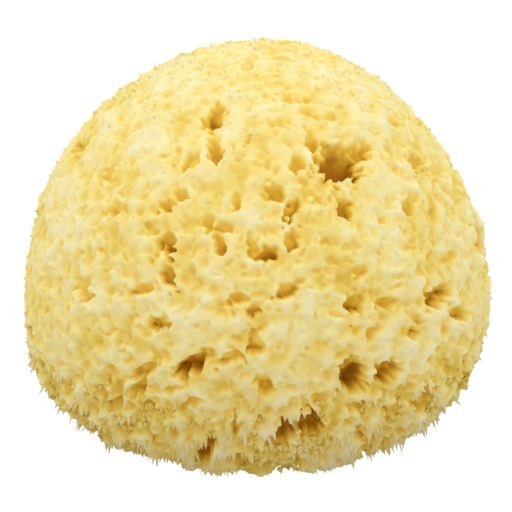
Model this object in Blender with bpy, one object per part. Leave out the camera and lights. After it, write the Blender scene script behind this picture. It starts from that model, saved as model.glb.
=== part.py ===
"""A dried sea sponge: one rounded body of springy fibre, cut flat where it grew on the rock.

Metres, +Z up. The origin is the middle of the flat cut, and the front faces -Y.
"""

import math
import random

import bmesh
import bpy
import numpy as np

MM = 0.001
SEED = 11

# The body grows outwards from one point above the cut
GROWTH_HEIGHT = 48.4 * MM
BODY_RADIUS = 60.5 * MM
DEPTH_SHARE = 0.95

# Broad lobes and flats: direction from the growth point, height, and spread in degrees
LOBES = (
    ((-0.86, -0.21, -0.46), 7.0 * MM, 27),
    ((0.87, -0.20, -0.46), 6.0 * MM, 26),
    ((-0.95, 0.10, 0.15), 0.7 * MM, 24),
    ((1.00, 0.05, 0.08), 1.5 * MM, 18),
    ((0.78, 0.20, 0.55), -1.2 * MM, 24),
    ((0.20, 0.32, 0.92), 1.0 * MM, 20),
    ((0.10, -0.92, 0.25), 2.2 * MM, 34),
    ((0.20, 0.95, 0.10), 3.0 * MM, 30),
    ((-0.62, 0.75, 0.30), -2.0 * MM, 24),
    ((0.65, 0.70, -0.30), 2.4 * MM, 26),
    ((-0.45, 0.80, -0.40), 2.6 * MM, 26),
)

# The canals that open on the front: across, up and radius in mm, as a viewer this far off sees them
VIEW_ELEVATION = math.radians(20)
VIEW_DISTANCE = 0.90
UPPER_RIGHT_CANALS = (
    (22.7, 28.4, 4.3), (27.9, 31.5, 2.6), (24.4, 15.8, 2.0), (11.2, 27.5, 2.6), (14.4, 35.0, 2.3),
    (5.2, 19.6, 2.7), (9.7, 15.2, 2.1), (43.6, 17.8, 2.4), (44.4, 28.4, 1.9), (10.2, 7.6, 2.0),
    (8.8, 45.4, 1.8),
)
UPPER_LEFT_CANALS = (
    (-11.8, 41.2, 2.3), (-11.7, 32.2, 2.2), (-18.3, 28.6, 2.1), (-21.2, 19.2, 1.9), (-24.7, 16.3, 2.1),
    (-5.7, 17.6, 1.8), (-8.2, 9.6, 2.0), (-38.2, 35.8, 2.4), (-49.0, 31.6, 1.9),
)
LOWER_LEFT_CANALS = (
    (-48.0, -4.6, 3.2), (-24.6, -2.6, 2.0), (-31.6, -7.6, 2.0), (-26.4, -16.6, 2.6), (-30.2, -29.6, 2.6),
    (-32.8, -35.4, 2.2), (-17.4, -28.4, 2.8), (-7.6, -26.4, 2.0), (-4.8, -9.4, 2.4), (-0.8, -22.0, 2.0),
    (-38.8, -40.0, 2.2), (-25.0, -42.0, 2.2), (-16.4, -38.4, 2.2), (-13.6, -51.8, 2.6), (-3.6, -55.4, 2.4),
)
LOWER_RIGHT_CANALS = (
    (9.6, -7.6, 3.0), (27.2, -11.6, 2.3), (29.4, -1.8, 1.9), (37.2, -11.6, 2.4), (40.2, -6.8, 2.2),
    (50.8, -9.4, 2.4), (44.4, -15.2, 1.9), (42.6, -19.0, 1.9), (56.2, -14.4, 2.4), (35.0, -23.6, 2.4),
    (27.4, -31.0, 3.1), (36.0, -29.2, 2.4), (33.8, -33.4, 2.2), (28.8, -39.8, 2.2), (17.0, -37.2, 2.4),
    (15.2, -45.6, 3.2), (8.4, -47.6, 2.5), (22.2, -45.2, 2.0), (25.8, -47.2, 2.1), (47.2, -37.6, 2.3),
    (52.4, -29.8, 2.1), (1.8, -34.2, 2.0),
)
FRONT_CANALS = UPPER_RIGHT_CANALS + UPPER_LEFT_CANALS + LOWER_LEFT_CANALS + LOWER_RIGHT_CANALS
FRONT_CANAL_SCALE = 1.2 * MM

# Canals over the rest of the body, spread at random this far apart or more
OTHER_CANALS = 62
OTHER_CANAL_RADII = (2.1 * MM, 4.2 * MM)
OTHER_CANAL_SPACING = (8.6 * MM, 13.8 * MM)

# Canals that the flat cut opens, on a ring with every third one nearer the middle
CUT_CANALS = 11
CUT_CANAL_RADII = (2.6 * MM, 3.8 * MM)
CUT_CANAL_DEPTH = 21.0 * MM
CUT_CANAL_RING = 23.0 * MM
CUT_CANAL_INNER_RING = 12.6 * MM
CUT_CANALS_PER_INNER = 3

# A canal narrows inwards to a rounded floor
CANAL_DEPTH_PER_RADIUS = 2.4
CANAL_DEPTH_EXTRA = 1.0 * MM
CANAL_RIM_SHARE = 1.15
CANAL_WALL_SHARE = 0.86
CANAL_WALL_DEPTH = 0.70
CANAL_LENGTHENING = 0.22
WIDE_CANAL = 2.5 * MM
CANAL_SIDES = 8
NARROW_CANAL_SIDES = 6

# Pointed tufts stand between shallow dips
SKIN_POINTS = 3600
SKIN_JITTER = 0.30
SKIN_GAP = 0.55
TUFT_HEIGHT = (0.9 * MM, 2.2 * MM)
DIP_DEPTH = (0.1 * MM, 0.8 * MM)

GOLDEN_ANGLE = math.pi * (3 - math.sqrt(5))
CUT_BLOCK_SIDE = 4 * BODY_RADIUS
SPONGE_COLOUR = (0.87, 0.75, 0.42, 1.0)
SPONGE_ROUGHNESS = 0.9


def clear_scene():
    for thing in list(bpy.data.objects):
        bpy.data.objects.remove(thing)


def new_collection(name):
    collection = bpy.data.collections.new(name)
    bpy.context.scene.collection.children.link(collection)
    return collection


def unit(vectors):
    vectors = np.asarray(vectors, float)
    return vectors / np.linalg.norm(vectors, axis=-1, keepdims=True)


def spiral_directions(count):
    """Evenly spread directions, one golden angle apart from pole to pole."""
    step = np.arange(count)
    height = 1 - (2 * step + 1) / count
    around = np.sqrt(1 - height**2)
    angle = step * GOLDEN_ANGLE
    return np.stack([around * np.cos(angle), around * np.sin(angle), height], axis=1)


def body_radius(directions):
    """The distance from the growth point to the smooth skin, without tufts or canals."""
    stretch = np.sqrt(directions[:, 0] ** 2 + (directions[:, 1] / DEPTH_SHARE) ** 2 + directions[:, 2] ** 2)
    radius = BODY_RADIUS / stretch
    for towards, height, spread in LOBES:
        closeness = directions @ unit(towards)
        radius += height * np.exp((closeness - 1) / (1 - math.cos(math.radians(spread))))
    return radius


def front_direction(across, up):
    """The direction of a point that the front view shows so far across and up from the growth point."""
    towards = math.sqrt(max(BODY_RADIUS**2 - across**2 - up**2, 0))
    nearness = 1 - towards / VIEW_DISTANCE
    across, up = across * nearness, up * nearness
    towards = math.sqrt(max(BODY_RADIUS**2 - across**2 - up**2, 0))
    sine, cosine = math.sin(VIEW_ELEVATION), math.cos(VIEW_ELEVATION)
    return unit((across, up * sine - towards * cosine, up * cosine + towards * sine))


def canal_depth(radius):
    return CANAL_DEPTH_PER_RADIUS * radius + CANAL_DEPTH_EXTRA


def find_canals(rng):
    """Each canal as its direction, radius and depth."""
    canals = []
    for across, up, radius in FRONT_CANALS:
        radius *= FRONT_CANAL_SCALE
        canals.append((front_direction(across * MM, up * MM), radius, canal_depth(radius)))
    for index in range(CUT_CANALS):
        reach = CUT_CANAL_RING if index % CUT_CANALS_PER_INNER else CUT_CANAL_INNER_RING
        angle = index * 2 * math.pi / CUT_CANALS
        towards = unit((reach * math.cos(angle), reach * math.sin(angle), -GROWTH_HEIGHT))
        canals.append((towards, rng.uniform(*CUT_CANAL_RADII), CUT_CANAL_DEPTH))
    added = 0
    while added < OTHER_CANALS:
        towards = unit([rng.gauss(0, 1) for _ in range(3)])
        nearest = min(np.linalg.norm(towards - other[0]) for other in canals) * BODY_RADIUS
        if nearest > rng.uniform(*OTHER_CANAL_SPACING):
            radius = rng.uniform(*OTHER_CANAL_RADII)
            canals.append((towards, radius, canal_depth(radius)))
            added += 1
    return canals


def canal_points(canal, rng):
    """The floor, wall ring and rim of one canal, each as a direction with a height from the skin."""
    towards, radius, depth = canal
    side = unit(np.cross(towards, [rng.gauss(0, 1) for _ in range(3)]))
    other = np.cross(towards, side)
    sides = CANAL_SIDES if radius > WIDE_CANAL else NARROW_CANAL_SIDES
    turn = rng.uniform(0, 2 * math.pi)
    points = [(towards, -depth)]
    for is_rim, share in ((False, CANAL_WALL_SHARE), (True, CANAL_RIM_SHARE)):
        for step in range(sides):
            angle = turn + (step + 0.5 * is_rim) * 2 * math.pi / sides
            reach = share * radius / BODY_RADIUS
            along = reach * math.cos(angle) * (1 + CANAL_LENGTHENING) * side
            across = reach * math.sin(angle) * (1 - CANAL_LENGTHENING) * other
            height = rng.choice((0.0, rng.uniform(*TUFT_HEIGHT))) if is_rim else -depth * CANAL_WALL_DEPTH
            points.append((unit(towards + along + across), height))
    return points


def skin_points(canals, rng):
    """Directions over the whole skin, jittered off their spiral and kept clear of the canals."""
    spacing = math.sqrt(4 * math.pi / SKIN_POINTS)
    centres = np.array([canal[0] for canal in canals])
    clear = CANAL_RIM_SHARE * np.array([canal[1] for canal in canals]) / BODY_RADIUS + SKIN_GAP * spacing
    kept = []
    for towards in spiral_directions(SKIN_POINTS):
        jitter = np.array([rng.uniform(-1, 1) for _ in range(3)])
        towards = unit(towards + jitter * SKIN_JITTER * spacing)
        if (np.linalg.norm(centres - towards, axis=1) > clear).all():
            kept.append(towards)
    return kept


def all_points(rng):
    """Every corner of the faceted skin: its direction, and its height, or None where the skin is free."""
    canals = find_canals(rng)
    points = [(towards, None) for towards in skin_points(canals, rng)]
    centres = np.array([canal[0] for canal in canals])
    radii = np.array([canal[1] for canal in canals]) / BODY_RADIUS
    for index, canal in enumerate(canals):
        others = np.arange(len(canals)) != index
        for towards, height in canal_points(canal, rng):
            if (np.linalg.norm(centres - towards, axis=1) > radii)[others].all():
                points.append((towards, height))
    return points


def grow_tufts(bm, heights, rng):
    """Raises free corners that have no raised neighbour into tufts, and sinks the others."""
    raised = set()
    free = [corner for corner in bm.verts if heights[corner.index] is None]
    rng.shuffle(free)
    for corner in free:
        neighbours = {edge.other_vert(corner) for edge in corner.link_edges}
        if neighbours & raised:
            heights[corner.index] = -rng.uniform(*DIP_DEPTH)
        else:
            raised.add(corner)
            heights[corner.index] = rng.uniform(*TUFT_HEIGHT)


def make_body(collection):
    """The whole skin: a hull over all directions, then each corner moved out to its place."""
    rng = random.Random(SEED)
    points = all_points(rng)
    bm = bmesh.new()
    for towards, _ in points:
        bm.verts.new(towards)
    bm.verts.ensure_lookup_table()
    bm.verts.index_update()
    bmesh.ops.convex_hull(bm, input=list(bm.verts))
    heights = [height for _, height in points]
    grow_tufts(bm, heights, rng)
    radii = body_radius(np.array([towards for towards, _ in points]))
    for corner in bm.verts:
        corner.co *= radii[corner.index] + heights[corner.index]
        corner.co.z += GROWTH_HEIGHT
    bmesh.ops.recalc_face_normals(bm, faces=list(bm.faces))
    mesh = bpy.data.meshes.new("sea_sponge")
    bm.to_mesh(mesh)
    bm.free()
    body = bpy.data.objects.new("sea_sponge", mesh)
    collection.objects.link(body)
    return body


def make_cut_block(collection):
    """Everything below the flat cut, as a block."""
    bm = bmesh.new()
    bmesh.ops.create_cube(bm, size=CUT_BLOCK_SIDE)
    bmesh.ops.translate(bm, verts=list(bm.verts), vec=(0, 0, -CUT_BLOCK_SIDE / 2))
    mesh = bpy.data.meshes.new("cut_block")
    bm.to_mesh(mesh)
    bm.free()
    block = bpy.data.objects.new("cut_block", mesh)
    block.hide_render = True
    block.display_type = "WIRE"
    collection.objects.link(block)
    return block


def cut_flat(body, block):
    cut = body.modifiers.new("flat cut", "BOOLEAN")
    cut.operation = "DIFFERENCE"
    cut.object = block


def centre_over_origin(body):
    """Moves the body so that the middle of its box stands over the origin."""
    bpy.context.view_layer.update()
    evaluated = body.evaluated_get(bpy.context.evaluated_depsgraph_get())
    corners = np.array([corner.co for corner in evaluated.data.vertices])
    middle = (corners.min(axis=0) + corners.max(axis=0)) / 2
    body.location = (-middle[0], -middle[1], 0)


def sponge_material():
    material = bpy.data.materials.new("dried sponge")
    material.use_nodes = True
    shader = material.node_tree.nodes["Principled BSDF"]
    shader.inputs["Base Color"].default_value = SPONGE_COLOUR
    shader.inputs["Roughness"].default_value = SPONGE_ROUGHNESS
    shader.inputs["Metallic"].default_value = 0.0
    return material


def main():
    clear_scene()
    body = make_body(new_collection("Sea sponge"))
    body.data.materials.append(sponge_material())
    cut_flat(body, make_cut_block(new_collection("Cutters")))
    centre_over_origin(body)


main()
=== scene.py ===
# %% [markdown]
# # A dried sea sponge
#
# A bath sponge is the skeleton of an animal. It is one body of springy fibre, with open canals
# that carried water, and with thousands of pointed tufts where the fibres end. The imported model
# holds it as one faceted solid. This script reads that solid's form and its canals, grows a
# much finer skin of the same size on them, and plants slim tufts all over it.

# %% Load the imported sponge
import math
import time

import bmesh
import bpy
import numpy as np
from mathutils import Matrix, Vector
from mathutils.bvhtree import BVHTree
from mathutils.kdtree import KDTree


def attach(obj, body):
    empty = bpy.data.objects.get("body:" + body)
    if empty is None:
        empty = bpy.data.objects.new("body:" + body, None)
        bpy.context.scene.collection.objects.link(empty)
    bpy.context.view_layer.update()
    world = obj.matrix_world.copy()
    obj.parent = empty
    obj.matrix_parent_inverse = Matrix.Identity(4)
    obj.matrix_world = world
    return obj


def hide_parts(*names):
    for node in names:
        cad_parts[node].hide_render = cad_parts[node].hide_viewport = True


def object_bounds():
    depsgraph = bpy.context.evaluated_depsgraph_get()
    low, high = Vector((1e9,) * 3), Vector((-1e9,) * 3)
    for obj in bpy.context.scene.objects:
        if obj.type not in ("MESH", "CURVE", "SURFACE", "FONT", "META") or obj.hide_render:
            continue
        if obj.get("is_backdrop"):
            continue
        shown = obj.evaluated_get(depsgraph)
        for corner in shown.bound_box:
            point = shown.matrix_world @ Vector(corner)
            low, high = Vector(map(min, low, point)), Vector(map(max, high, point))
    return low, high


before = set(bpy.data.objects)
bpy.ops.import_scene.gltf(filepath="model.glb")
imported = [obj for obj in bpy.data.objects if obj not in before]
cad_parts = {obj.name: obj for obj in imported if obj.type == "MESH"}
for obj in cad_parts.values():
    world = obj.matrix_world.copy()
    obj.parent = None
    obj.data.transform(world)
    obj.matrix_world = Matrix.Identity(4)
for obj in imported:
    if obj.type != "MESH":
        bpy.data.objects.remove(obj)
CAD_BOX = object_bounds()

MM = 0.001
STARTED = time.time()
print("packed sponge, mm:", [round((high - low) / MM, 1) for low, high in zip(*CAD_BOX)])

# %% [markdown]
# ## The form of the body
#
# Everything in a sponge grows outwards from one place, so each point of the skin can be named
# by a direction from there and a distance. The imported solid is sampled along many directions.
# A smooth body is then fitted to the samples as a polynomial of the direction, and what lies far
# below it, such as a canal, is left out and the fit is made again. The fit could be traced by
# hand instead, but then it would no longer follow the solid if that changed.

# %% Fit the smooth body
GROWTH_POINT = np.array((0.0, 0.0, 48.4 * MM))
MEAN_RADIUS = 61.0 * MM
FIT_POWER = 8
FIT_ROUNDS = 4
FIT_DROP = 1.2 * MM
CUT_LEVEL = 0.5 * MM


def unit(vectors):
    vectors = np.asarray(vectors, float)
    return vectors / np.linalg.norm(vectors, axis=-1, keepdims=True)


def ball_directions(subdivisions):
    """Evenly spread directions: the corners of a round ball."""
    ball = bmesh.new()
    bmesh.ops.create_icosphere(ball, subdivisions=subdivisions, radius=1)
    directions = np.array([corner.co for corner in ball.verts])
    ball.free()
    return directions


def powers(directions):
    """Every product of the three coordinates up to the fit's power."""
    x, y, z = np.asarray(directions).T
    columns = []
    for i in range(FIT_POWER + 1):
        for j in range(FIT_POWER + 1 - i):
            for k in range(2):
                if i + j + k <= FIT_POWER:
                    columns.append(x**i * y**j * z**k)
    return np.stack(columns, axis=1)


def packed_solid():
    """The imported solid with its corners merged, for measuring only."""
    solid = bmesh.new()
    solid.from_mesh(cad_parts["sea_sponge"].data)
    bmesh.ops.remove_doubles(solid, verts=solid.verts, dist=0.001 * MM)
    solid.verts.ensure_lookup_table()
    return solid


def fit_body(solid):
    """The polynomial's factors for the smooth body's distance from the growth point."""
    directions = ball_directions(6)
    tree = BVHTree.FromBMesh(solid)
    start = Vector(GROWTH_POINT)
    hits = np.array([tree.ray_cast(start, Vector(towards))[0] for towards in directions])
    distances = np.linalg.norm(hits - GROWTH_POINT, axis=1)
    distances[hits[:, 2] < CUT_LEVEL] = MEAN_RADIUS
    columns = powers(directions)
    kept = np.ones(len(directions), bool)
    for _ in range(FIT_ROUNDS):
        factors = np.linalg.lstsq(columns[kept], distances[kept], rcond=None)[0]
        kept = distances > columns @ factors - FIT_DROP
    print("directions kept in the fit:", int(kept.sum()), "of", len(kept))
    return factors


solid = packed_solid()
BODY = fit_body(solid)


def uncut_distance(directions):
    """The distance from the growth point to the smooth body as if it had never been cut."""
    return powers(directions) @ BODY


def body_distance(directions):
    """The distance from the growth point to the smooth body, with the flat cut taken off."""
    distance = uncut_distance(directions)
    down = np.maximum(-np.asarray(directions)[:, 2], 1e-6)
    return np.minimum(distance, GROWTH_POINT[2] / down)


def height_over_body(points):
    """How far points stand above the smooth body, or below it where negative."""
    offsets = np.asarray(points) - GROWTH_POINT
    return np.linalg.norm(offsets, axis=1) - body_distance(unit(offsets))


# %% [markdown]
# ## Noise and spreading
#
# Some helpers are needed from here on. The first is smooth noise, added up from waves that run in
# random directions. The next spreads directions evenly over the body: a golden-angle spiral
# does that, and a random push on each direction hides the spiral.

# %% Noise and spreading
SEED = 5
rng = np.random.default_rng(SEED)
GOLDEN_ANGLE = math.pi * (3 - math.sqrt(5))
SPREAD_PUSH = 0.33
RIPPLES = 14


def ripple(points, wavelength, seed):
    """Smooth noise from about -1 to 1, with bumps about half a wavelength across."""
    numbers = np.random.default_rng(seed)
    waves = unit(numbers.normal(size=(RIPPLES, 3))) * 2 * math.pi / wavelength
    phases = numbers.uniform(0, 2 * math.pi, RIPPLES)
    total = np.sin(np.asarray(points) @ waves.T + phases).sum(axis=1)
    return np.clip(total / math.sqrt(2 * RIPPLES), -1, 1)


def smooth_step(low, high, values):
    share = np.clip((values - low) / (high - low), 0, 1)
    return share * share * (3 - 2 * share)


def spread_directions(pitch):
    """Directions that leave about one pitch between points on the body, pushed off their spiral."""
    count = int(4 * math.pi * MEAN_RADIUS**2 / (pitch**2 * math.sqrt(3) / 2))
    step = np.arange(count)
    height = 1 - (2 * step + 1) / count
    around = np.sqrt(1 - height**2)
    angle = step * GOLDEN_ANGLE
    directions = np.stack([around * np.cos(angle), around * np.sin(angle), height], axis=1)
    return unit(directions + rng.uniform(-1, 1, directions.shape) * SPREAD_PUSH * pitch / MEAN_RADIUS)


def on_body(directions):
    return GROWTH_POINT + directions * body_distance(directions)[:, None]


def on_cut(directions):
    """Whether each direction meets the flat cut."""
    return body_distance(directions) < uncut_distance(directions) - 0.01 * MM


LOW_TOP = 46 * MM
LOW_BOTTOM = 10 * MM


def lowness(places):
    """0 on the upper half, rising to 1 near the cut, where tufts are longer and hang down."""
    return 1 - smooth_step(LOW_BOTTOM, LOW_TOP, places[:, 2])


# %% [markdown]
# ## The front openings
#
# The openings on the front are those of the one sponge that is shown. Their places were measured
# in its front view: a separate measuring script marked out the dark patches and gave the middle,
# length, width and turn of each, and the largest openings on the right were then set by hand.
# Each row gives how far the middle lies across and up from the growth point, half the length and
# half the width, all in millimetres, and the turn of the long side from level in degrees. The
# last two tables hold pale pits near the outline. How deep an opening goes can't
# be measured from one side, so a rule gives it: a wide mouth leads to a canal and goes in much
# further than a narrow one, which is only a gap between tufts.

# %% Tables of the front openings
UPPER_LEFT_OPENINGS = (
    (-0.4, 44.9, 1.4, 0.7, 80), (-11.2, 41.0, 3.2, 1.9, 65), (-24.3, 35.7, 1.7, 0.6, 105),
    (-37.4, 35.2, 1.8, 1.1, 165), (-11.2, 31.6, 3.1, 1.8, 95), (-38.7, 31.3, 1.4, 0.9, 45),
    (-25.0, 29.2, 2.0, 0.8, 10), (-18.0, 27.9, 2.8, 1.4, 30), (-20.9, 19.0, 2.4, 1.6, 160),
    (-5.6, 17.3, 2.4, 1.4, 95), (-24.5, 16.0, 2.4, 1.5, 35), (-13.1, 11.5, 2.0, 1.6, 105),
    (-8.2, 10.0, 2.7, 1.2, 170), (-29.4, 10.0, 1.7, 1.2, 10), (-28.2, 8.5, 1.6, 1.2, 25),
    (-31.7, 8.3, 1.6, 0.8, 170), (-10.2, 6.2, 4.0, 1.4, 110), (-24.2, 6.0, 3.1, 1.9, 60),
    (-1.3, 5.6, 2.5, 1.3, 110),
)
UPPER_RIGHT_OPENINGS = (
    (8.8, 45.1, 1.5, 1.2, 60), (6.7, 39.0, 1.3, 1.1, 50), (3.5, 38.6, 1.5, 1.0, 120),
    (15.0, 34.6, 2.8, 1.3, 115), (28.9, 31.4, 3.0, 2.0, 155), (11.5, 27.4, 2.6, 1.7, 55),
    (22.9, 28.0, 5.5, 4.5, 5), (21.9, 22.2, 1.6, 0.9, 90), (5.3, 19.4, 2.6, 1.9, 135),
    (40.3, 18.8, 1.6, 0.8, 20), (2.4, 18.2, 1.6, 0.9, 160), (42.1, 16.0, 1.9, 1.7, 60),
    (10.0, 15.6, 3.0, 1.8, 60), (24.5, 15.8, 3.5, 1.8, 100), (10.0, 6.2, 3.0, 1.7, 90),
    (37.2, 3.8, 1.5, 0.9, 105), (2.5, 2.4, 3.2, 2.0, 15),
)
LOWER_LEFT_OPENINGS = (
    (-49.1, -2.1, 1.5, 1.1, 45), (-0.2, -2.8, 1.5, 1.2, 95), (-35.7, -3.2, 1.2, 0.9, 100),
    (-24.2, -3.5, 3.1, 1.8, 95), (-47.2, -5.4, 2.9, 1.0, 160), (-31.5, -7.4, 3.3, 1.4, 20),
    (-48.2, -7.8, 2.7, 1.7, 145), (-34.9, -8.9, 1.2, 0.9, 80), (-5.2, -10.1, 2.7, 1.7, 5),
    (-18.0, -11.8, 1.4, 1.1, 40), (-0.2, -12.8, 2.9, 1.5, 55), (-21.3, -14.2, 1.4, 0.7, 175),
    (-53.6, -14.3, 1.1, 0.9, 95), (-26.6, -16.7, 3.2, 1.9, 5), (-45.3, -17.1, 1.6, 0.9, 80),
    (-30.9, -18.7, 2.0, 1.1, 135), (-40.2, -19.4, 2.3, 0.7, 25), (-0.2, -22.5, 3.1, 1.8, 90),
    (-24.1, -22.7, 1.2, 1.0, 65), (-7.4, -26.3, 3.1, 1.6, 25), (-35.1, -26.9, 1.4, 1.0, 40),
    (-53.9, -28.0, 2.0, 0.6, 0), (-17.8, -28.6, 5.0, 2.1, 35), (-30.9, -29.9, 3.6, 1.5, 35),
    (-39.5, -30.1, 1.8, 1.2, 150), (-44.1, -34.2, 1.7, 0.6, 105), (-32.8, -34.9, 2.6, 1.8, 40),
    (-22.4, -34.9, 2.8, 1.1, 20), (-17.5, -38.4, 3.0, 1.5, 30), (-2.8, -39.9, 1.5, 1.2, 95),
    (-39.0, -40.2, 2.4, 2.0, 35), (-0.5, -41.7, 1.8, 1.2, 135), (-24.8, -42.1, 2.4, 1.2, 30),
    (-12.0, -42.3, 1.9, 0.9, 55), (-10.0, -44.6, 1.5, 1.0, 50), (-5.6, -46.0, 3.5, 1.0, 85),
    (-26.0, -47.0, 1.8, 0.6, 65), (-18.4, -47.2, 1.6, 1.5, 85), (-13.9, -52.7, 4.4, 1.8, 60),
    (-25.9, -53.4, 1.8, 0.7, 130), (-3.2, -55.7, 3.1, 1.5, 155),
)
LOWER_RIGHT_OPENINGS = (
    (40.2, -0.4, 1.5, 0.8, 20), (48.9, -1.7, 1.2, 0.8, 105), (29.1, -1.9, 2.0, 1.5, 15),
    (59.4, -1.8, 1.6, 0.7, 170), (16.5, -2.2, 1.3, 0.8, 10), (23.1, -3.0, 1.4, 0.9, 125),
    (39.4, -3.7, 1.4, 0.9, 15), (12.0, -5.0, 1.8, 1.2, 35), (38.7, -6.9, 2.2, 0.9, 10),
    (9.0, -7.6, 2.8, 2.0, 30), (50.1, -9.2, 3.4, 1.9, 35), (27.1, -11.5, 2.9, 2.1, 100),
    (36.2, -11.3, 3.1, 1.3, 0), (11.2, -12.6, 1.2, 1.0, 0), (56.3, -14.1, 2.9, 1.9, 160),
    (21.9, -14.4, 2.3, 1.2, 165), (34.8, -15.1, 1.4, 1.0, 160), (44.5, -15.4, 2.2, 1.5, 140),
    (42.7, -19.2, 2.8, 1.4, 160), (31.7, -19.4, 2.1, 1.4, 90), (57.1, -21.7, 1.7, 1.3, 145),
    (25.6, -22.6, 1.3, 0.9, 140), (32.9, -23.7, 2.1, 0.8, 10), (23.7, -25.8, 1.7, 0.7, 5),
    (52.9, -29.1, 2.2, 1.3, 125), (36.1, -30.2, 3.6, 2.4, 20), (27.5, -31.6, 4.4, 3.1, 115),
    (1.8, -33.7, 2.7, 2.0, 125), (17.8, -37.3, 1.8, 1.7, 50), (47.0, -38.7, 3.6, 1.9, 85),
    (13.8, -39.6, 1.9, 1.3, 105), (29.0, -39.5, 2.7, 1.3, 0), (18.8, -40.3, 1.8, 0.9, 50),
    (2.4, -41.1, 1.5, 1.5, 95), (11.5, -43.6, 1.3, 1.2, 165), (42.4, -44.6, 1.2, 0.9, 150),
    (15.0, -45.7, 4.3, 3.3, 85), (21.3, -45.5, 2.3, 0.7, 65), (28.9, -47.6, 3.1, 1.3, 120),
    (7.4, -48.4, 4.4, 2.9, 65), (30.9, -50.8, 1.2, 1.1, 80), (4.4, -51.6, 1.5, 0.7, 50),
    (22.8, -54.4, 1.6, 0.7, 135),
)
UPPER_PITS = (
    (-37.0, 40.4, 1.6, 1.2, 30), (-48.5, 32.4, 2.0, 1.5, 60), (-49.8, 28.6, 1.4, 1.0, 0),
    (-40.4, 24.9, 1.8, 1.4, 20), (-38.0, 22.1, 1.3, 1.0, 120), (-48.1, 14.4, 1.5, 1.3, 0),
    (-38.2, 14.9, 2.2, 1.5, 10), (-2.2, 54.5, 1.7, 1.2, 70), (-6.6, 49.0, 1.3, 1.0, 90),
    (13.0, 53.1, 1.3, 1.0, 0), (43.9, 28.2, 1.9, 1.7, 0), (22.4, 37.0, 1.0, 0.7, 40),
    (-56.5, 6.0, 1.4, 1.1, 30), (-24.0, 47.0, 1.3, 1.0, 60), (31.5, 42.0, 1.4, 1.0, 140),
)
LOWER_PITS = (
    (53.0, 1.4, 2.6, 1.6, 10), (-57.0, -4.5, 2.4, 1.7, 80), (-45.0, -10.5, 2.2, 1.4, 40),
    (58.6, -10.5, 1.8, 1.3, 60), (-46.0, 0.4, 2.0, 1.2, 70),
)
FRONT_OPENINGS = (
    UPPER_LEFT_OPENINGS + UPPER_RIGHT_OPENINGS + LOWER_LEFT_OPENINGS + LOWER_RIGHT_OPENINGS
    + UPPER_PITS + LOWER_PITS
)
VIEW_ELEVATION = math.radians(20)
VIEW_DISTANCE = 0.90
VIEW_UP = np.array((0, math.sin(VIEW_ELEVATION), math.cos(VIEW_ELEVATION)))
VIEW_BACK = np.array((0, -math.cos(VIEW_ELEVATION), math.sin(VIEW_ELEVATION)))
AIM_ROUNDS = 30
OPENING_DEPTH = 1.3
PALE_PIT_DEPTH = 0.8
DEPTH_POWER = 1.4
DEEPEST_OPENING = 7.0 * MM


def seen_directions(across, up):
    """Directions of the points that the front view shows so far across and up, in metres."""
    eye = VIEW_BACK * VIEW_DISTANCE
    ray = unit(across[:, None] * np.array((1.0, 0, 0)) + up[:, None] * VIEW_UP - eye)
    middle = -(ray @ eye)
    gap = np.sqrt(np.maximum((eye @ eye) - middle**2, 0))
    radius = np.full(len(ray), MEAN_RADIUS)
    for _ in range(AIM_ROUNDS):
        reach = middle - np.sqrt(np.maximum(radius**2 - gap**2, 0))
        directions = unit(eye + ray * reach[:, None])
        radius = body_distance(directions)
    return directions


def front_openings():
    """The tables as direction, long side, half length, half width and depth on the body."""
    across, up, length, width, turn = (np.array(FRONT_OPENINGS) * MM).T
    factor = np.full(len(FRONT_OPENINGS), OPENING_DEPTH)
    factor[-len(LOWER_PITS):] = PALE_PIT_DEPTH
    depth = factor * (np.sqrt(length * width) / MM) ** DEPTH_POWER * MM
    depth = np.minimum(depth, DEEPEST_OPENING)
    turn = np.radians(turn / MM)
    cosine, sine = np.cos(turn), np.sin(turn)
    middle = seen_directions(across, up)
    ahead = seen_directions(across + cosine * length / 2, up + sine * length / 2) - middle
    aside = seen_directions(across - sine * width / 2, up + cosine * width / 2) - middle
    half_length = 2 * np.linalg.norm(ahead, axis=1) * MEAN_RADIUS
    half_width = 2 * np.linalg.norm(aside, axis=1) * MEAN_RADIUS
    return middle, unit(ahead), half_length, half_width, depth


front = front_openings()
print("front openings:", len(front[0]), "longest, mm:", round(2 * front[2].max() / MM, 1))
print("their depths, mm:", [round(float(v) / MM, 1) for v in np.percentile(front[4], (0, 50, 90, 100))])

# %% [markdown]
# ## The other openings
#
# Away from the front nothing was seen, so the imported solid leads. Its canals end in a floor corner
# that is deeper than all its neighbours. Finding those corners gives each canal's direction and
# depth, and its width follows from the depth. Smaller pits are then spread between the canals.

# %% Find the canals in the solid and spread the pits
CANAL_LEAST_DEPTH = 3.5 * MM
DEPTH_PER_RADIUS = 2.4
DEPTH_EXTRA = 1.0 * MM
CUT_CANAL_RADIUS = 3.6 * MM
CANAL_DEPTH_SHARE = 0.72
CANAL_LONGER = (1.0, 1.5)
PIT_PITCH = 6.4 * MM
PIT_LENGTH = (1.3 * MM, 3.2 * MM)
PIT_SLIMNESS = (0.45, 0.9)
PIT_DEPTH_PER_WIDTH = (1.3, 2.6)
PIT_CLEARANCE = 1.1
DIMPLE_PITCH = 2.75 * MM
DIMPLE_LENGTH = (0.8 * MM, 1.8 * MM)
LOW_DIMPLE_LENGTH = (1.8 * MM, 3.4 * MM)
DIMPLE_DEPTH = (0.4 * MM, 1.9 * MM)
LOW_DIMPLE_DEPTH = (1.5 * MM, 3.6 * MM)
DIMPLES_KEPT = (0.3, 0.85, 0.5)
DIMPLE_LEVELS = (92 * MM, 62 * MM, 12 * MM)
DIMPLE_GAP = 0.4 * MM
FRONT_EDGE = (0.12, 0.24)
FRONT_LIMIT = 0.5
PIT_GAP = 1.5 * MM
UPRIGHT_PULL = 2
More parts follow.
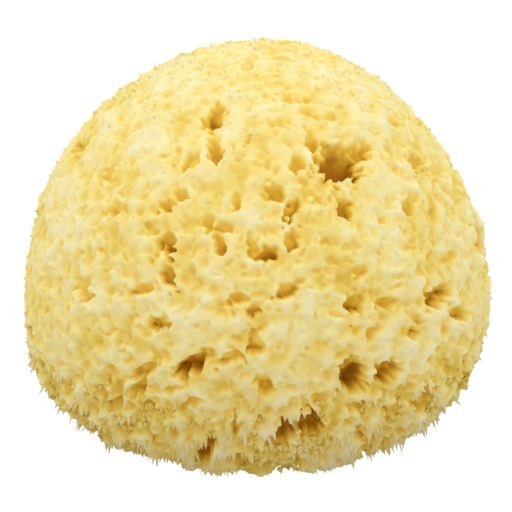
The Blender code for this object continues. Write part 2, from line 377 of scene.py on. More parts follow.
shapes = np.random.default_rng(SEED + 1)


def find_canals():
    """Each canal of the solid as its direction, radius and depth."""
    distances = np.array([(corner.co - Vector(GROWTH_POINT)).length for corner in solid.verts])
    heights = height_over_body([corner.co for corner in solid.verts])
    canals = []
    for corner in solid.verts:
        if heights[corner.index] > -CANAL_LEAST_DEPTH:
            continue
        around = [edge.other_vert(corner).index for edge in corner.link_edges]
        if distances[around].min() < distances[corner.index]:
            continue
        towards = unit(np.array(corner.co) - GROWTH_POINT)
        depth = -heights[corner.index]
        radius = (depth - DEPTH_EXTRA) / DEPTH_PER_RADIUS
        if on_cut(towards[None])[0]:
            radius = CUT_CANAL_RADIUS
        canals.append((towards, radius, depth))
    return canals


def is_front(directions):
    """0 behind the outline that the front view shows, 1 inside it."""
    return smooth_step(*FRONT_EDGE, directions @ VIEW_BACK)


def clear_of(directions, middles, sizes, gap):
    """Whether each direction keeps clear of all the openings made so far."""
    gaps = np.linalg.norm(directions[:, None] - middles[None], axis=2) * MEAN_RADIUS
    return (gaps > sizes[None] + gap).all(axis=1)


def make_dimples(middles, sizes):
    """Shallow dimples in what is left, which become upright hollows near the cut."""
    dimples = spread_directions(DIMPLE_PITCH)
    dimples = dimples[clear_of(dimples, middles, sizes, DIMPLE_GAP)]
    kept = np.interp(-on_body(dimples)[:, 2], -np.array(DIMPLE_LEVELS), DIMPLES_KEPT)
    dimples = dimples[shapes.random(len(dimples)) < kept]
    count = len(dimples)
    low = lowness(on_body(dimples))
    lengths = shapes.uniform(*DIMPLE_LENGTH, count)
    lengths += (shapes.uniform(*LOW_DIMPLE_LENGTH, count) - lengths) * low
    widths = lengths * shapes.uniform(*PIT_SLIMNESS, count)
    depths = shapes.uniform(*DIMPLE_DEPTH, count)
    depths += (shapes.uniform(*LOW_DIMPLE_DEPTH, count) - depths) * low
    upright = np.array((0, 0, 1.0)) - dimples[:, 2:] * dimples
    sides = upright * low[:, None] * UPRIGHT_PULL
    sides += np.cross(dimples, unit(shapes.normal(size=dimples.shape)))
    return dimples, unit(sides), lengths, widths, depths


def make_openings():
    """Every opening: direction, long side, half length, half width and depth."""
    canals = [canal for canal in find_canals() if is_front(canal[0]) < FRONT_LIMIT]
    towards = np.array([canal[0] for canal in canals])
    radii = np.array([canal[1] for canal in canals])
    depths = np.array([canal[2] for canal in canals]) * CANAL_DEPTH_SHARE
    sides = unit(np.cross(towards, shapes.normal(size=towards.shape)))
    longer = np.sqrt(shapes.uniform(*CANAL_LONGER, len(canals)))
    canal_set = (towards, sides, radii * longer, radii / longer, depths)
    pits = spread_directions(PIT_PITCH)
    taken = np.concatenate([front[0], towards])
    size = np.concatenate([front[2], radii])
    clear = clear_of(pits, taken, PIT_CLEARANCE * size, PIT_GAP)
    pits = pits[clear & (is_front(pits) < FRONT_LIMIT)]
    count = len(pits)
    lengths = shapes.uniform(*PIT_LENGTH, count)
    widths = lengths * shapes.uniform(*PIT_SLIMNESS, count)
    pit_depths = widths * shapes.uniform(*PIT_DEPTH_PER_WIDTH, count)
    pit_sides = unit(np.cross(pits, shapes.normal(size=pits.shape)))
    pit_set = (pits, pit_sides, lengths, widths, pit_depths)
    taken = np.concatenate([taken, pits])
    size = np.concatenate([size, lengths])
    dimple_set = make_dimples(taken, size)
    print("front:", len(front[0]), "canals elsewhere:", len(canals), "pits elsewhere:", count)
    print("dimples:", len(dimple_set[0]))
    return [np.concatenate(parts) for parts in zip(front, canal_set, pit_set, dimple_set)]


OPENINGS, SIDES, HALF_LENGTHS, HALF_WIDTHS, DEPTHS = make_openings()
OPENING_TREE = KDTree(len(OPENINGS))
for index, towards in enumerate(OPENINGS):
    OPENING_TREE.insert(towards, index)
OPENING_TREE.balance()

# %% [markdown]
# ## The shape of an opening
#
# A real opening is frayed, and its canal runs slantwise, so that one wall is a gentle slope and the
# other a steep step. On the upper body the step is below, and near the cut it is above. Here each
# direction gets its distance from every near opening in that opening's own size, and from
# that a sink with those two kinds of wall.

# %% Measure how deep the openings go
OPENING_WARP = 0.45 * MM
OPENING_WARP_LENGTH = 4.0 * MM
WARP_SEEDS = (51, 52, 53)
FRAY_RIPPLES = ((0.26, 4.6 * MM, 21), (0.28, 2.1 * MM, 22))
EDGE_SHARE = 1.25
NEAREST_OPENINGS = 12
STEEP_START = 0.88
GENTLE_START = 0.05
FLOOR_SLOPE = 0.55
LOW_STEEPNESS = 0.75
SHALLOW = (1.4 * MM, 3.2 * MM)
LEAST_SHARPNESS = 0.45


def warped(directions):
    """The directions pushed about a little, so that no opening stays an ellipse."""
    places = directions * MEAN_RADIUS
    push = np.stack([ripple(places, OPENING_WARP_LENGTH, seed) for seed in WARP_SEEDS], axis=1)
    return unit(places + OPENING_WARP * push)


def ragged(directions):
    """A factor on distances that frays the edge of every opening."""
    places = directions * MEAN_RADIUS
    factor = 1
    for strength, wavelength, seed in FRAY_RIPPLES:
        factor = factor + strength * ripple(places, wavelength, seed)
    return factor


LOWNESS = lowness(on_body(OPENINGS))
STEEP_SIDES = np.array((0, 0, -1.0)) * (1 - 2 * LOWNESS)[:, None]
SHARPNESS = LEAST_SHARPNESS + (1 - LEAST_SHARPNESS) * smooth_step(*SHALLOW, DEPTHS)
STEEP_SIDES -= (STEEP_SIDES * OPENINGS).sum(axis=1)[:, None] * OPENINGS


def opening_share(directions):
    """For each direction: the distance to its nearest opening's axis as a share of the way to that
    opening's edge, the opening's number, and the sink that the openings make there."""
    pushed = warped(directions)
    found = [OPENING_TREE.find_n(towards, NEAREST_OPENINGS) for towards in pushed]
    near = np.array([[one[1] for one in row] for row in found])
    offsets = (pushed[:, None, :] - OPENINGS[near]) * MEAN_RADIUS
    along = (offsets * SIDES[near]).sum(axis=2)
    across = np.sqrt(np.maximum((offsets**2).sum(axis=2) - along**2, 0))
    share = np.hypot(along / HALF_LENGTHS[near], across / HALF_WIDTHS[near])
    share *= ragged(directions)[:, None] / EDGE_SHARE
    steep = (offsets * STEEP_SIDES[near]).sum(axis=2) / np.sqrt(HALF_LENGTHS * HALF_WIDTHS)[near]
    steepness = np.clip(0.5 + 0.5 * steep, 0, 1)
    steepness += (LOW_STEEPNESS - steepness) * LOWNESS[near]
    steepness *= SHARPNESS[near]
    start = GENTLE_START + (STEEP_START - GENTLE_START) * steepness
    wall = 1 - np.clip((share - start) / (1 - start), 0, 1) ** 2
    sink = (DEPTHS[near] * wall * (1 - FLOOR_SLOPE * (1 - steepness))).max(axis=1)
    best = share.argmin(axis=1)
    rows = np.arange(len(directions))
    return share[rows, best], near[rows, best], sink


# %% [markdown]
# ## The skin
#
# The skin is a ball of fine triangles. Each corner moves out to the smooth body, rises or sinks
# with broad and fine lumps, and sinks where an opening goes in. It could be sculpted by hand,
# but the openings would then have to be cut one by one. Decimate merges the flattest triangles.

# %% Sink the openings and thin the skin
LUMP_HEIGHT = 0.8 * MM
LUMP_RIPPLES = ((0.5, 18 * MM, 31), (0.7, 8 * MM, 32), (0.6, 5 * MM, 34))
FINE_LUMP_HEIGHT = 0.25 * MM
FINE_LUMP_RIPPLE = (3.4 * MM, 33)
STRAND_HEIGHT = 0.6 * MM
STRAND_RIPPLE = (2.6 * MM, 35)
STRAND_STRETCH = 0.3
CALM_LEVELS = (60 * MM, 95 * MM)
CALM_SHARE = 0.75
SKIN_RISE = 0.35 * MM
SKIN_SUBDIVISIONS = 8
SKIN_TRIANGLES = 196_000
DENSER_SIDE = (0, -0.20, -0.04)


def lump_height(places):
    """Lumps and hollows that whole clumps of tufts follow, drawn out into strands near the cut."""
    low = lowness(places)
    lumps = 0
    for strength, wavelength, seed in LUMP_RIPPLES:
        lumps = lumps + strength * ripple(places, wavelength, seed)
    lumps *= np.interp(places[:, 2], CALM_LEVELS, (1, CALM_SHARE))
    fine = FINE_LUMP_HEIGHT * ripple(places, *FINE_LUMP_RIPPLE) * (1 - low)
    strands = STRAND_HEIGHT * ripple(places * (1, 1, STRAND_STRETCH), *STRAND_RIPPLE) * low
    return SKIN_RISE + LUMP_HEIGHT * lumps + fine + strands


def make_skin_ball():
    """The skin without its tufts, as one closed mesh."""
    ball = bmesh.new()
    bmesh.ops.create_icosphere(ball, subdivisions=SKIN_SUBDIVISIONS, radius=1)
    directions = unit(unit([corner.co for corner in ball.verts]) + DENSER_SIDE)
    places = on_body(directions)
    _, _, sink = opening_share(directions)
    distance = body_distance(directions) - sink + lump_height(places)
    down = np.maximum(-directions[:, 2], 1e-6)
    distance = np.minimum(distance, GROWTH_POINT[2] / down)
    places = GROWTH_POINT + directions * distance[:, None]
    for corner, place in zip(ball.verts, places):
        corner.co = place
    mesh = bpy.data.meshes.new("sponge_skin")
    ball.to_mesh(mesh)
    ball.free()
    return mesh


def apply_modifiers(piece):
    """The piece's mesh as its modifiers leave it."""
    evaluated = piece.evaluated_get(bpy.context.evaluated_depsgraph_get())
    mesh = bpy.data.meshes.new_from_object(evaluated)
    piece.modifiers.clear()
    piece.data = mesh


def add_piece(name, mesh):
    piece = bpy.data.objects.new(name, mesh)
    bpy.context.scene.collection.objects.link(piece)
    return piece


skin = add_piece("sponge_skin", make_skin_ball())
print("skin ball triangles:", len(skin.data.polygons), "seconds:", round(time.time() - STARTED, 1))
thin = skin.modifiers.new("thin", "DECIMATE")
thin.ratio = SKIN_TRIANGLES / len(skin.data.polygons)
apply_modifiers(skin)
skin.data.shade_smooth()
print("skin triangles:", len(skin.data.polygons), "seconds:", round(time.time() - STARTED, 1))

# %% [markdown]
# ## One tuft and its copies
#
# A tuft is a slim cone of fibre. One is made with the cone operator, and a copy of its corners is
# turned, sized and bent for every tuft. All copies of a quarter of the sponge share one mesh.

# %% Make one cone and a way to copy it
TUFT_SIDES = 4
TUFT_JOINTS = 2
MIDDLE_WIDTH = 1.15


def cone_template(sides, joints):
    """Corners and faces of an upright cone of height 1 and foot radius 1, cut into joints."""
    cone = bmesh.new()
    bmesh.ops.create_cone(
        cone, cap_ends=True, cap_tris=False, segments=sides, radius1=1, radius2=0, depth=1
    )
    bmesh.ops.translate(cone, verts=list(cone.verts), vec=(0, 0, 0.5))
    uprights = [edge for edge in cone.edges if abs(edge.verts[0].co.z - edge.verts[1].co.z) > 0.5]
    if joints > 1:
        bmesh.ops.subdivide_edges(cone, edges=uprights, cuts=joints - 1)
    for corner in cone.verts:
        if 0.01 < corner.co.z < 0.99:
            corner.co.x *= MIDDLE_WIDTH
            corner.co.y *= MIDDLE_WIDTH
    bmesh.ops.triangulate(cone, faces=list(cone.faces))
    bmesh.ops.recalc_face_normals(cone, faces=list(cone.faces))
    corners = np.array([corner.co for corner in cone.verts])
    faces = np.array([[corner.index for corner in face.verts] for face in cone.faces])
    cone.free()
    return corners, faces


def copy_cones(template, roots, axes, lengths, widths, bends):
    """The corners and faces of one cone for each root, along its axis, bent sideways to its tip."""
    corners, faces = template
    axes = unit(axes)
    side = unit(np.cross(axes, unit(rng.normal(size=axes.shape))))
    other = np.cross(axes, side)
    height = corners[:, 2]
    across = corners[:, 0] * widths[:, None] + bends[:, None] * height**2
    away = corners[:, 1] * widths[:, None]
    up = height * lengths[:, None]
    places = (
        roots[:, None, :]
        + across[:, :, None] * side[:, None, :]
        + away[:, :, None] * other[:, None, :]
        + up[:, :, None] * axes[:, None, :]
    )
    shift = np.arange(len(roots))[:, None, None] * len(corners)
    return places.reshape(-1, 3), (faces[None] + shift).reshape(-1, 3)


def mesh_of(name, corners, faces):
    """A mesh from arrays of corners and triangles."""
    mesh = bpy.data.meshes.new(name)
    mesh.vertices.add(len(corners))
    mesh.vertices.foreach_set("co", corners.astype(np.float32).ravel())
    mesh.loops.add(3 * len(faces))
    mesh.loops.foreach_set("vertex_index", faces.astype(np.int32).ravel())
    mesh.polygons.add(len(faces))
    mesh.polygons.foreach_set("loop_start", np.arange(0, 3 * len(faces), 3, dtype=np.int32))
    mesh.update(calc_edges=True)
    return mesh


TUFT = cone_template(TUFT_SIDES, TUFT_JOINTS)
print("triangles in a tuft:", len(TUFT[1]))

# %% [markdown]
# ## Tufts over the skin
#
# Tufts stand one to two millimetres apart, short on top and longer near the cut, where they hang
# down. Groups of them share a lean, which gives the sponge its feathery clumps. They are left out
# inside the openings and on the flat cut. They could be hair, but hair isn't carried over when a
# model is exported, so each one is real mesh.

# %% Place the tufts
TUFT_PITCH = 1.32 * MM
TUFT_CLEARANCE = (0.6 * MM, 0.15 * MM)
TUFT_ROOT = 1.2 * MM
TUFTS_KEPT = (0.6, 1.0)
TUFT_REACH = (0.2 * MM, 0.9 * MM)
LOW_TUFT_REACH = (0.4 * MM, 2.6 * MM)
TUFT_FOOT = (0.75 * MM, 1.15 * MM)
LOW_TUFT_FOOT = (0.45 * MM, 0.80 * MM)
HANG = 1.2
CLUMP_PITCH = 3.6 * MM
CLUMP_LEAN = 0.35
CLUMP_LEAN_ON_TOP = 0.5
CLUMP_GATHER = 0.9
RANDOM_LEAN = 0.22
LEAST_OUTWARD = 0.4


def place_tufts():
    """Root, axis, length and foot radius of every tuft."""
    tufts = spread_directions(TUFT_PITCH)
    share, near, _ = opening_share(tufts)
    low = lowness(on_body(tufts))
    from_rim = (share - 1) * np.sqrt(HALF_LENGTHS * HALF_WIDTHS)[near]
    clear = from_rim > np.interp(low, (0, 1), TUFT_CLEARANCE)
    kept = rng.random(len(tufts)) < np.interp(low, (0, 1), TUFTS_KEPT)
    tufts = tufts[clear & kept & ~on_cut(tufts)]
    places = on_body(tufts)
    low = lowness(places)[:, None]
    clumps = KDTree(len(CLUMPS))
    for index, towards in enumerate(CLUMPS):
        clumps.insert(towards, index)
    clumps.balance()
    owner = np.array([clumps.find(towards)[1] for towards in tufts])
    own_lean = CLUMP_LEANS[owner] * CLUMP_LEAN * (CLUMP_LEAN_ON_TOP + low)
    gather = (CLUMPS[owner] - tufts) * MEAN_RADIUS / CLUMP_PITCH * CLUMP_GATHER * low
    hang = np.array((0, 0, -HANG)) * low
    axes = unit(tufts + own_lean + gather + hang + rng.normal(size=tufts.shape) * RANDOM_LEAN)
    outward = np.maximum((axes * tufts).sum(axis=1), LEAST_OUTWARD)
    short = rng.uniform(*TUFT_REACH, len(tufts))
    long = rng.uniform(*LOW_TUFT_REACH, len(tufts))
    reach = short + (long - short) * low[:, 0]
    lengths = (TUFT_ROOT + reach) / outward
    roots = places + tufts * (lump_height(places) - TUFT_ROOT)[:, None]
    feet = rng.uniform(*TUFT_FOOT, len(tufts))
    feet += (rng.uniform(*LOW_TUFT_FOOT, len(tufts)) - feet) * low[:, 0]
    return roots, axes, lengths, feet


CLUMPS = spread_directions(CLUMP_PITCH)
CLUMP_LEANS = unit(rng.normal(size=CLUMPS.shape))
tuft_set = place_tufts()
print("tufts:", len(tuft_set[0]), "seconds:", round(time.time() - STARTED, 1))

# %% [markdown]
# ## Teeth at the rims
#
# Near the cut, tufts at the upper edge of an opening hang in over it as a fringe and stand out
# clearly before the dark canal. Higher up, such teeth looked like loops inside the holes, so they
# are kept to the wide and deep openings low on the body.

# %% Place the teeth
TOOTH_SPACING = 1.5 * MM
TOOTH_ROOT = 1.2 * MM
TOOTH_LENGTH = (0.15, 0.5)
TOOTH_FOOT = (0.70 * MM, 1.05 * MM)
TOOTH_OUT = (0.5, 1.2)
TOOTH_LEAST_SIZE = 1.6 * MM
TOOTH_LEAST_DEPTH = 1.9 * MM
TOOTH_LEAST_LOWNESS = 0.4
TOOTH_LEAST_COUNT = 4
TOOTH_SHIFT = 0.3
TOOTH_STEEPNESS = (0.4, 0.85)
TOOTH_RIM = 1.05
TOOTH_LEAN = 0.25
TOOTH_MOST_REACH = 2.6 * MM
TOOTH_STRETCH = 1.2


def place_teeth():
    """Root, axis, length and foot radius of every tooth around the openings."""
    rows = []
    for index in np.flatnonzero(~on_cut(OPENINGS)):
        towards, side = OPENINGS[index], SIDES[index]
        side = unit(side - (side @ towards) * towards)
        other = np.cross(towards, side)
        half_length, half_width = HALF_LENGTHS[index], HALF_WIDTHS[index]
        if LOWNESS[index] < TOOTH_LEAST_LOWNESS:
            continue
        if half_length < TOOTH_LEAST_SIZE or DEPTHS[index] < TOOTH_LEAST_DEPTH:
            continue
        steep = STEEP_SIDES[index]
        ring = math.pi * (half_length + half_width)
        count = max(TOOTH_LEAST_COUNT, int(ring / TOOTH_SPACING))
        for step in range(count):
            angle = 2 * math.pi * (step + rng.uniform(-TOOTH_SHIFT, TOOTH_SHIFT)) / count
            outwards = math.cos(angle) * half_length * side + math.sin(angle) * half_width * other
            reach = np.linalg.norm(outwards)
            outwards /= reach
            steepness = 0.5 + 0.5 * (outwards @ steep)
            if steepness < rng.uniform(*TOOTH_STEEPNESS):
                continue
            root = unit(towards + outwards * reach * EDGE_SHARE * TOOTH_RIM / MEAN_RADIUS)
            axis = root * rng.uniform(*TOOTH_OUT) - outwards
            axis = unit(axis + rng.normal(size=3) * TOOTH_LEAN)
            length = rng.uniform(*TOOTH_LENGTH) * min(reach, TOOTH_MOST_REACH)
            length = TOOTH_ROOT + length * steepness * TOOTH_STRETCH
            rows.append((*root, *axis, length, rng.uniform(*TOOTH_FOOT)))
    table = np.array(rows)
    towards, axes = table[:, :3], table[:, 3:6]
    roots = on_body(towards)
    roots += towards * (lump_height(roots) - TOOTH_ROOT)[:, None]
    return roots, axes, table[:, 6], table[:, 7]


tooth_set = place_teeth()
print("teeth:", len(tooth_set[0]))

# %% Copy the cone to all places, a quarter of the sponge at a time
QUARTERS = ("front_left", "front_right", "back_left", "back_right")
TIP_BEND = 0.25 * MM
LEAST_HEIGHT = 0.25 * MM
# Painted shade: teeth hang in over the dark canals, so their colour is taken this many millimetres
# lower.
TOOTH_SHADE = 0.3
roots, axes, lengths, widths = (np.concatenate(pair) for pair in zip(tuft_set, tooth_set))
bends = rng.normal(size=len(roots)) * TIP_BEND
shades = np.repeat((0, TOOTH_SHADE), (len(tuft_set[0]), len(tooth_set[0])))
quarter = (roots[:, 1] > 0) * 2 + (roots[:, 0] > 0)
tuft_pieces = []
tuft_roots = []
tuft_shades = []
for index, place in enumerate(QUARTERS):
    own = quarter == index
    corners, faces = copy_cones(TUFT, roots[own], axes[own], lengths[own], widths[own], bends[own])
    corners[:, 2] = np.maximum(corners[:, 2], LEAST_HEIGHT)
    piece = add_piece("tufts_" + place, mesh_of("tufts_" + place, corners, faces))
    piece.data.shade_smooth()
    tuft_pieces.append(piece)
    tuft_roots.append(roots[own])
    tuft_shades.append(shades[own])
    print(piece.name, "triangles:", len(faces))
print("seconds:", round(time.time() - STARTED, 1))

# %% [markdown]
# ## Height and body normal as attributes
#
# The tips of a sponge are pale. Its canals and the gaps between tufts get a deep ochre that is
# painted shade, so each corner keeps how far it stands above or below the smooth body, in
# millimetres. It also keeps which way the smooth body faces there. Fibre scatters light so much
# that a tuft hardly shades itself, and the material copies that by shading partly as the smooth
# body would. A side face lies between two tufts, where less light comes in, so it counts as a
# little lower than it is and gets a darker colour: painted shade.

# %% Store each corner's height and body normal
NORMAL_STEP = 0.01
# Painted shade: faces turned sideways from the smooth body count as lower, so they get a darker colour.
ASIDE_SHADE = 1.0
ASIDE_START = 0.75


def body_normals(directions):
    """Which way the smooth body faces in each direction."""
    east = unit(np.cross((0, 0, 1.0), directions + 1e-9))
    north = np.cross(directions, east)
    ends = (directions, unit(directions + NORMAL_STEP * east), unit(directions + NORMAL_STEP * north))
    places = [end * uncut_distance(end)[:, None] for end in ends]
    normals = unit(np.cross(places[1] - places[0], places[2] - places[0]))
    normals[on_cut(directions)] = (0, 0, -1)
    return normals


def store_attributes(piece, normals=None, shade=0):
    mesh = piece.data
    corners = np.empty(3 * len(mesh.vertices), np.float32)
    mesh.vertices.foreach_get("co", corners)
    corners = corners.reshape(-1, 3)
    # Painted shade: the given shade lowers the height, so the ramp colours those corners darker.
    heights = height_over_body(corners) / MM - shade
    if normals is None:
        normals = body_normals(unit(corners - GROWTH_POINT))
    own_normals = np.empty(3 * len(mesh.vertices), np.float32)
    mesh.vertex_normals.foreach_get("vector", own_normals)
    facing = (own_normals.reshape(-1, 3) * normals).sum(axis=1)
    # Painted shade for faces turned sideways, between the tufts.
    heights -= ASIDE_SHADE * np.maximum(ASIDE_START - facing, 0)
    attribute = mesh.attributes.new("height", "FLOAT", "POINT")
    attribute.data.foreach_set("value", heights.astype(np.float32))
    attribute = mesh.attributes.new("body_normal", "FLOAT_VECTOR", "POINT")
    attribute.data.foreach_set("vector", normals.astype(np.float32).ravel())
    return heights


heights = store_attributes(skin)
print("skin height, mm:", [round(float(v), 1) for v in np.percentile(heights, (0, 5, 50, 95, 100))])
for piece, roots, shade in zip(tuft_pieces, tuft_roots, tuft_shades):
    normals = body_normals(unit(roots - GROWTH_POINT))
    store_attributes(piece, np.repeat(normals, len(TUFT[0]), axis=0), np.repeat(shade, len(TUFT[0])))
print("seconds:", round(time.time() - STARTED, 1))

# %% [markdown]
# ## Colour
#
# Dry sponge fibre is cream at the tips. Towards the inside the colour ramp over the height turns it
# yellow, then orange-brown and dark brown deep in the canals: painted shade, with the warm tint of
# the light that goes in deep and is coloured again at each fibre it meets. Two noises vary it, as no
# sponge is one even colour. A weak glow of the same colour is painted light for the light that
# wanders about inside the mesh of fibres, and it is weaker near the cut, where less light gets in.

# %% Build the colour group
# Painted shade: pale cream high up, darkening to brown the deeper a place lies below the body.
HEIGHT_COLOURS = (
    (-7.0, (0.22, 0.07, 0.003)),
    (-4.5, (0.42, 0.18, 0.006)),
    (-2.8, (0.71, 0.44, 0.045)),
    (-1.6, (0.82, 0.58, 0.095)),
    (-0.7, (0.89, 0.675, 0.165)),
    (0.1, (0.925, 0.755, 0.275)),
    (1.0, (0.95, 0.815, 0.41)),
    (2.0, (0.965, 0.855, 0.54)),
)
NOISES = ((60, 3, 3.2), (230, 2, 3.2))
GRAIN_SCALE = 1600
GRAIN_DETAIL = 4


def add_node(tree, kind, **settings):
    node = tree.nodes.new(kind)
    for name, value in settings.items():
        setattr(node, name, value)
    return node


def sponge_colour_group():
    """Height and place in, colour and grain out."""
    group = bpy.data.node_groups.new("sponge colour", "ShaderNodeTree")
    group.interface.new_socket("Height", in_out="INPUT", socket_type="NodeSocketFloat")
    group.interface.new_socket("Place", in_out="INPUT", socket_type="NodeSocketVector")
    group.interface.new_socket("Colour", in_out="OUTPUT", socket_type="NodeSocketColor")
    group.interface.new_socket("Grain", in_out="OUTPUT", socket_type="NodeSocketFloat")
    entry = add_node(group, "NodeGroupInput")
    leave = add_node(group, "NodeGroupOutput")
    total = entry.outputs["Height"]
    for scale, detail, strength in NOISES:
        noise = add_node(group, "ShaderNodeTexNoise")
        noise.inputs["Scale"].default_value = scale
        noise.inputs["Detail"].default_value = detail
        group.links.new(entry.outputs["Place"], noise.inputs["Vector"])
        shift = add_node(group, "ShaderNodeMath", operation="MULTIPLY_ADD")
        shift.inputs[1].default_value = strength
        shift.inputs[2].default_value = -strength / 2
        group.links.new(noise.outputs["Fac"], shift.inputs[0])
        add = add_node(group, "ShaderNodeMath", operation="ADD")
        group.links.new(total, add.inputs[0])
        group.links.new(shift.outputs[0], add.inputs[1])
        total = add.outputs[0]
    low, high = HEIGHT_COLOURS[0][0], HEIGHT_COLOURS[-1][0]
    share = add_node(group, "ShaderNodeMapRange")
    share.inputs["From Min"].default_value = low
    share.inputs["From Max"].default_value = high
    group.links.new(total, share.inputs["Value"])
    ramp = add_node(group, "ShaderNodeValToRGB")
    stops = [((height - low) / (high - low), colour) for height, colour in HEIGHT_COLOURS]
    while len(ramp.color_ramp.elements) < len(stops):
        ramp.color_ramp.elements.new(0.5)
    for element, (position, colour) in zip(ramp.color_ramp.elements, stops):
        element.position = position
        element.color = (*colour, 1)
    group.links.new(share.outputs["Result"], ramp.inputs["Fac"])
    group.links.new(ramp.outputs["Color"], leave.inputs["Colour"])
    grain = add_node(group, "ShaderNodeTexNoise")
    grain.inputs["Scale"].default_value = GRAIN_SCALE
    grain.inputs["Detail"].default_value = GRAIN_DETAIL
    group.links.new(entry.outputs["Place"], grain.inputs["Vector"])
    group.links.new(grain.outputs["Fac"], leave.inputs["Grain"])
    return group


# Painted light: the glow of the fibre, weaker near the cut as painted shade.
SCATTERED_LIGHT = 0.28
LOW_SCATTERED_LIGHT = 0.20
ROUGHNESS = 0.95
SHINE = 0.2
INNER_RADII = (1.0, 0.75, 0.25)
INNER_REACH = 2.0 * MM
SKIN_FINISH = (0.15 * MM, 0.35, 1.0)
TUFT_FINISH = (0.02 * MM, 0.50, 0.0)


def sponge_material(name, group, grain_depth, softness, inner_light):
    """Dry fibre: how deep its grain is, how far it shades as the body does, and its inner light."""
    material = bpy.data.materials.new(name)
    material.use_nodes = True
    tree = material.node_tree
    shader = tree.nodes["Principled BSDF"]
    shader.inputs["Roughness"].default_value = ROUGHNESS
    shader.inputs["Specular IOR Level"].default_value = SHINE
    shader.inputs["Subsurface Weight"].default_value = inner_light
    shader.inputs["Subsurface Radius"].default_value = INNER_RADII
    shader.inputs["Subsurface Scale"].default_value = INNER_REACH
    place = add_node(tree, "ShaderNodeTexCoord")
    height = add_node(tree, "ShaderNodeAttribute", attribute_name="height")
    colours = add_node(tree, "ShaderNodeGroup", node_tree=group)
    bump = add_node(tree, "ShaderNodeBump")
    bump.inputs["Distance"].default_value = grain_depth
    body = add_node(tree, "ShaderNodeAttribute", attribute_name="body_normal")
    turned = add_node(tree, "ShaderNodeVectorTransform", vector_type="NORMAL")
    turned.convert_from = "OBJECT"
    turned.convert_to = "WORLD"
    own = add_node(tree, "ShaderNodeNewGeometry")
    soft = add_node(tree, "ShaderNodeMix", data_type="VECTOR")
    soft.inputs["Factor"].default_value = softness
    tree.links.new(body.outputs["Vector"], turned.inputs["Vector"])
    tree.links.new(own.outputs["Normal"], soft.inputs[4])
    tree.links.new(turned.outputs["Vector"], soft.inputs[5])
    tree.links.new(soft.outputs[1], bump.inputs["Normal"])
    tree.links.new(place.outputs["Object"], colours.inputs["Place"])
    tree.links.new(height.outputs["Fac"], colours.inputs["Height"])
    tree.links.new(colours.outputs["Colour"], shader.inputs["Base Color"])
    # Painted light: the sponge's own colour glows as emission.
    tree.links.new(colours.outputs["Colour"], shader.inputs["Emission Color"])
    parts = add_node(tree, "ShaderNodeSeparateXYZ")
    scattered = add_node(tree, "ShaderNodeMapRange")
    scattered.inputs["From Max"].default_value = LOW_TOP
    scattered.inputs["To Min"].default_value = LOW_SCATTERED_LIGHT
    scattered.inputs["To Max"].default_value = SCATTERED_LIGHT
    tree.links.new(place.outputs["Object"], parts.inputs["Vector"])
    tree.links.new(parts.outputs["Z"], scattered.inputs["Value"])
    tree.links.new(scattered.outputs["Result"], shader.inputs["Emission Strength"])
    tree.links.new(colours.outputs["Grain"], bump.inputs["Height"])
    tree.links.new(bump.outputs["Normal"], shader.inputs["Normal"])
    return material


group = sponge_colour_group()
skin.data.materials.append(sponge_material("sponge skin", group, *SKIN_FINISH))
tuft_material = sponge_material("sponge tuft", group, *TUFT_FINISH)
for piece in tuft_pieces:
    piece.data.materials.append(tuft_material)

# %% [markdown]
# ## Fasten the pieces to the frame
#
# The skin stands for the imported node, which is then hidden. Skin and tufts ride on the one body.

# %% Ride and replace
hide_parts("sea_sponge")
for piece in (skin, *tuft_pieces):
    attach(piece, "root")

# %% [markdown]
# ## Floor, light and camera
#
# A nearly white floor, an even white surround and one large soft lamp from above give the flat
# studio light that shows a pale object well. The floor also glows a little for the camera alone,
# so that it stays pale without throwing more light up at the sponge. The camera looks down twenty
# degrees from far away.

# %% Set the stage
PIXEL = 0.2766 * MM
IMAGE_SIDE = 512
GROWTH_PIXELS_BELOW_MIDDLE = 6
FLOOR_GLOW = 1.1
FLOOR_GLOW_SHARE = 0.92
FLOOR_HALF_SIDE = 3
FLOOR_GREY = (0.45, 0.45, 0.45, 1)
SURROUND_LIGHT = 0.73
LAMP_SIDE = 0.8
LAMP_POWER = 0.84
LAMP_PLACE = (-0.13, -0.30, 0.95)
LAMP_TARGET = (0, 0, 0.05)
SENSOR_WIDTH = 36


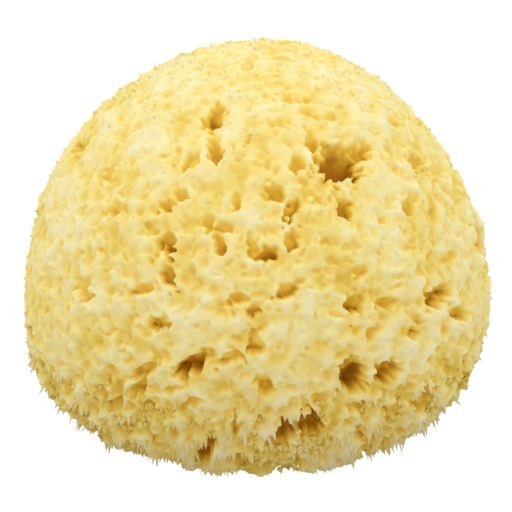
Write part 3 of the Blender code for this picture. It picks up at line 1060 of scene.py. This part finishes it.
def make_floor():
    mesh = bpy.data.meshes.new("floor")
    plane = bmesh.new()
    bmesh.ops.create_grid(plane, x_segments=1, y_segments=1, size=FLOOR_HALF_SIDE)
    plane.to_mesh(mesh)
    plane.free()
    floor = add_piece("floor", mesh)
    material = bpy.data.materials.new("floor")
    material.use_nodes = True
    tree = material.node_tree
    shader = tree.nodes["Principled BSDF"]
    shader.inputs["Base Color"].default_value = FLOOR_GREY
    shader.inputs["Roughness"].default_value = 1.0
    shader.inputs["Specular IOR Level"].default_value = 0.0
    glow = add_node(tree, "ShaderNodeEmission")
    glow.inputs["Strength"].default_value = FLOOR_GLOW
    seen = add_node(tree, "ShaderNodeLightPath")
    share = add_node(tree, "ShaderNodeMath", operation="MULTIPLY")
    share.inputs[1].default_value = FLOOR_GLOW_SHARE
    mix = add_node(tree, "ShaderNodeMixShader")
    tree.links.new(seen.outputs["Is Camera Ray"], share.inputs[0])
    tree.links.new(share.outputs[0], mix.inputs["Fac"])
    tree.links.new(shader.outputs["BSDF"], mix.inputs[1])
    tree.links.new(glow.outputs["Emission"], mix.inputs[2])
    tree.links.new(mix.outputs["Shader"], tree.nodes["Material Output"].inputs["Surface"])
    mesh.materials.append(material)
    floor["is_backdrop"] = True


def aim(thing, direction):
    thing.rotation_mode = "QUATERNION"
    thing.rotation_quaternion = Vector(direction).to_track_quat("-Z", "Y")


def make_light():
    world = bpy.data.worlds.new("studio")
    world.use_nodes = True
    background = world.node_tree.nodes["Background"]
    background.inputs["Color"].default_value = (1, 1, 1, 1)
    background.inputs["Strength"].default_value = SURROUND_LIGHT
    bpy.context.scene.world = world
    lamp_data = bpy.data.lights.new("softbox", "AREA")
    lamp_data.size = LAMP_SIDE
    lamp_data.energy = LAMP_POWER
    lamp = bpy.data.objects.new("softbox", lamp_data)
    lamp.location = LAMP_PLACE
    aim(lamp, Vector(LAMP_TARGET) - lamp.location)
    bpy.context.scene.collection.objects.link(lamp)


def make_camera():
    data = bpy.data.cameras.new("camera")
    camera = bpy.data.objects.new("camera", data)
    target = GROWTH_POINT + VIEW_UP * GROWTH_PIXELS_BELOW_MIDDLE * PIXEL
    camera.location = target + VIEW_BACK * VIEW_DISTANCE
    aim(camera, -VIEW_BACK)
    data.sensor_width = SENSOR_WIDTH
    data.lens = data.sensor_width * VIEW_DISTANCE / (IMAGE_SIDE * PIXEL)
    bpy.context.scene.collection.objects.link(camera)
    bpy.context.scene.camera = camera


make_floor()
make_light()
make_camera()
bpy.context.scene.view_settings.view_transform = "Standard"

# %% [markdown]
# ## Size
#
# The new pieces are meant to fill the same box as the imported solid, so both boxes are printed.

# %% Print the sizes
boxes = {
    "cad": [list(corner) for corner in CAD_BOX],
    "visual": [list(corner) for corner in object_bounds()],
}
for name, (low, high) in boxes.items():
    print(name, "mm:", [round((b - a) / MM, 1) for a, b in zip(low, high)])
print("seconds:", round(time.time() - STARTED, 1))
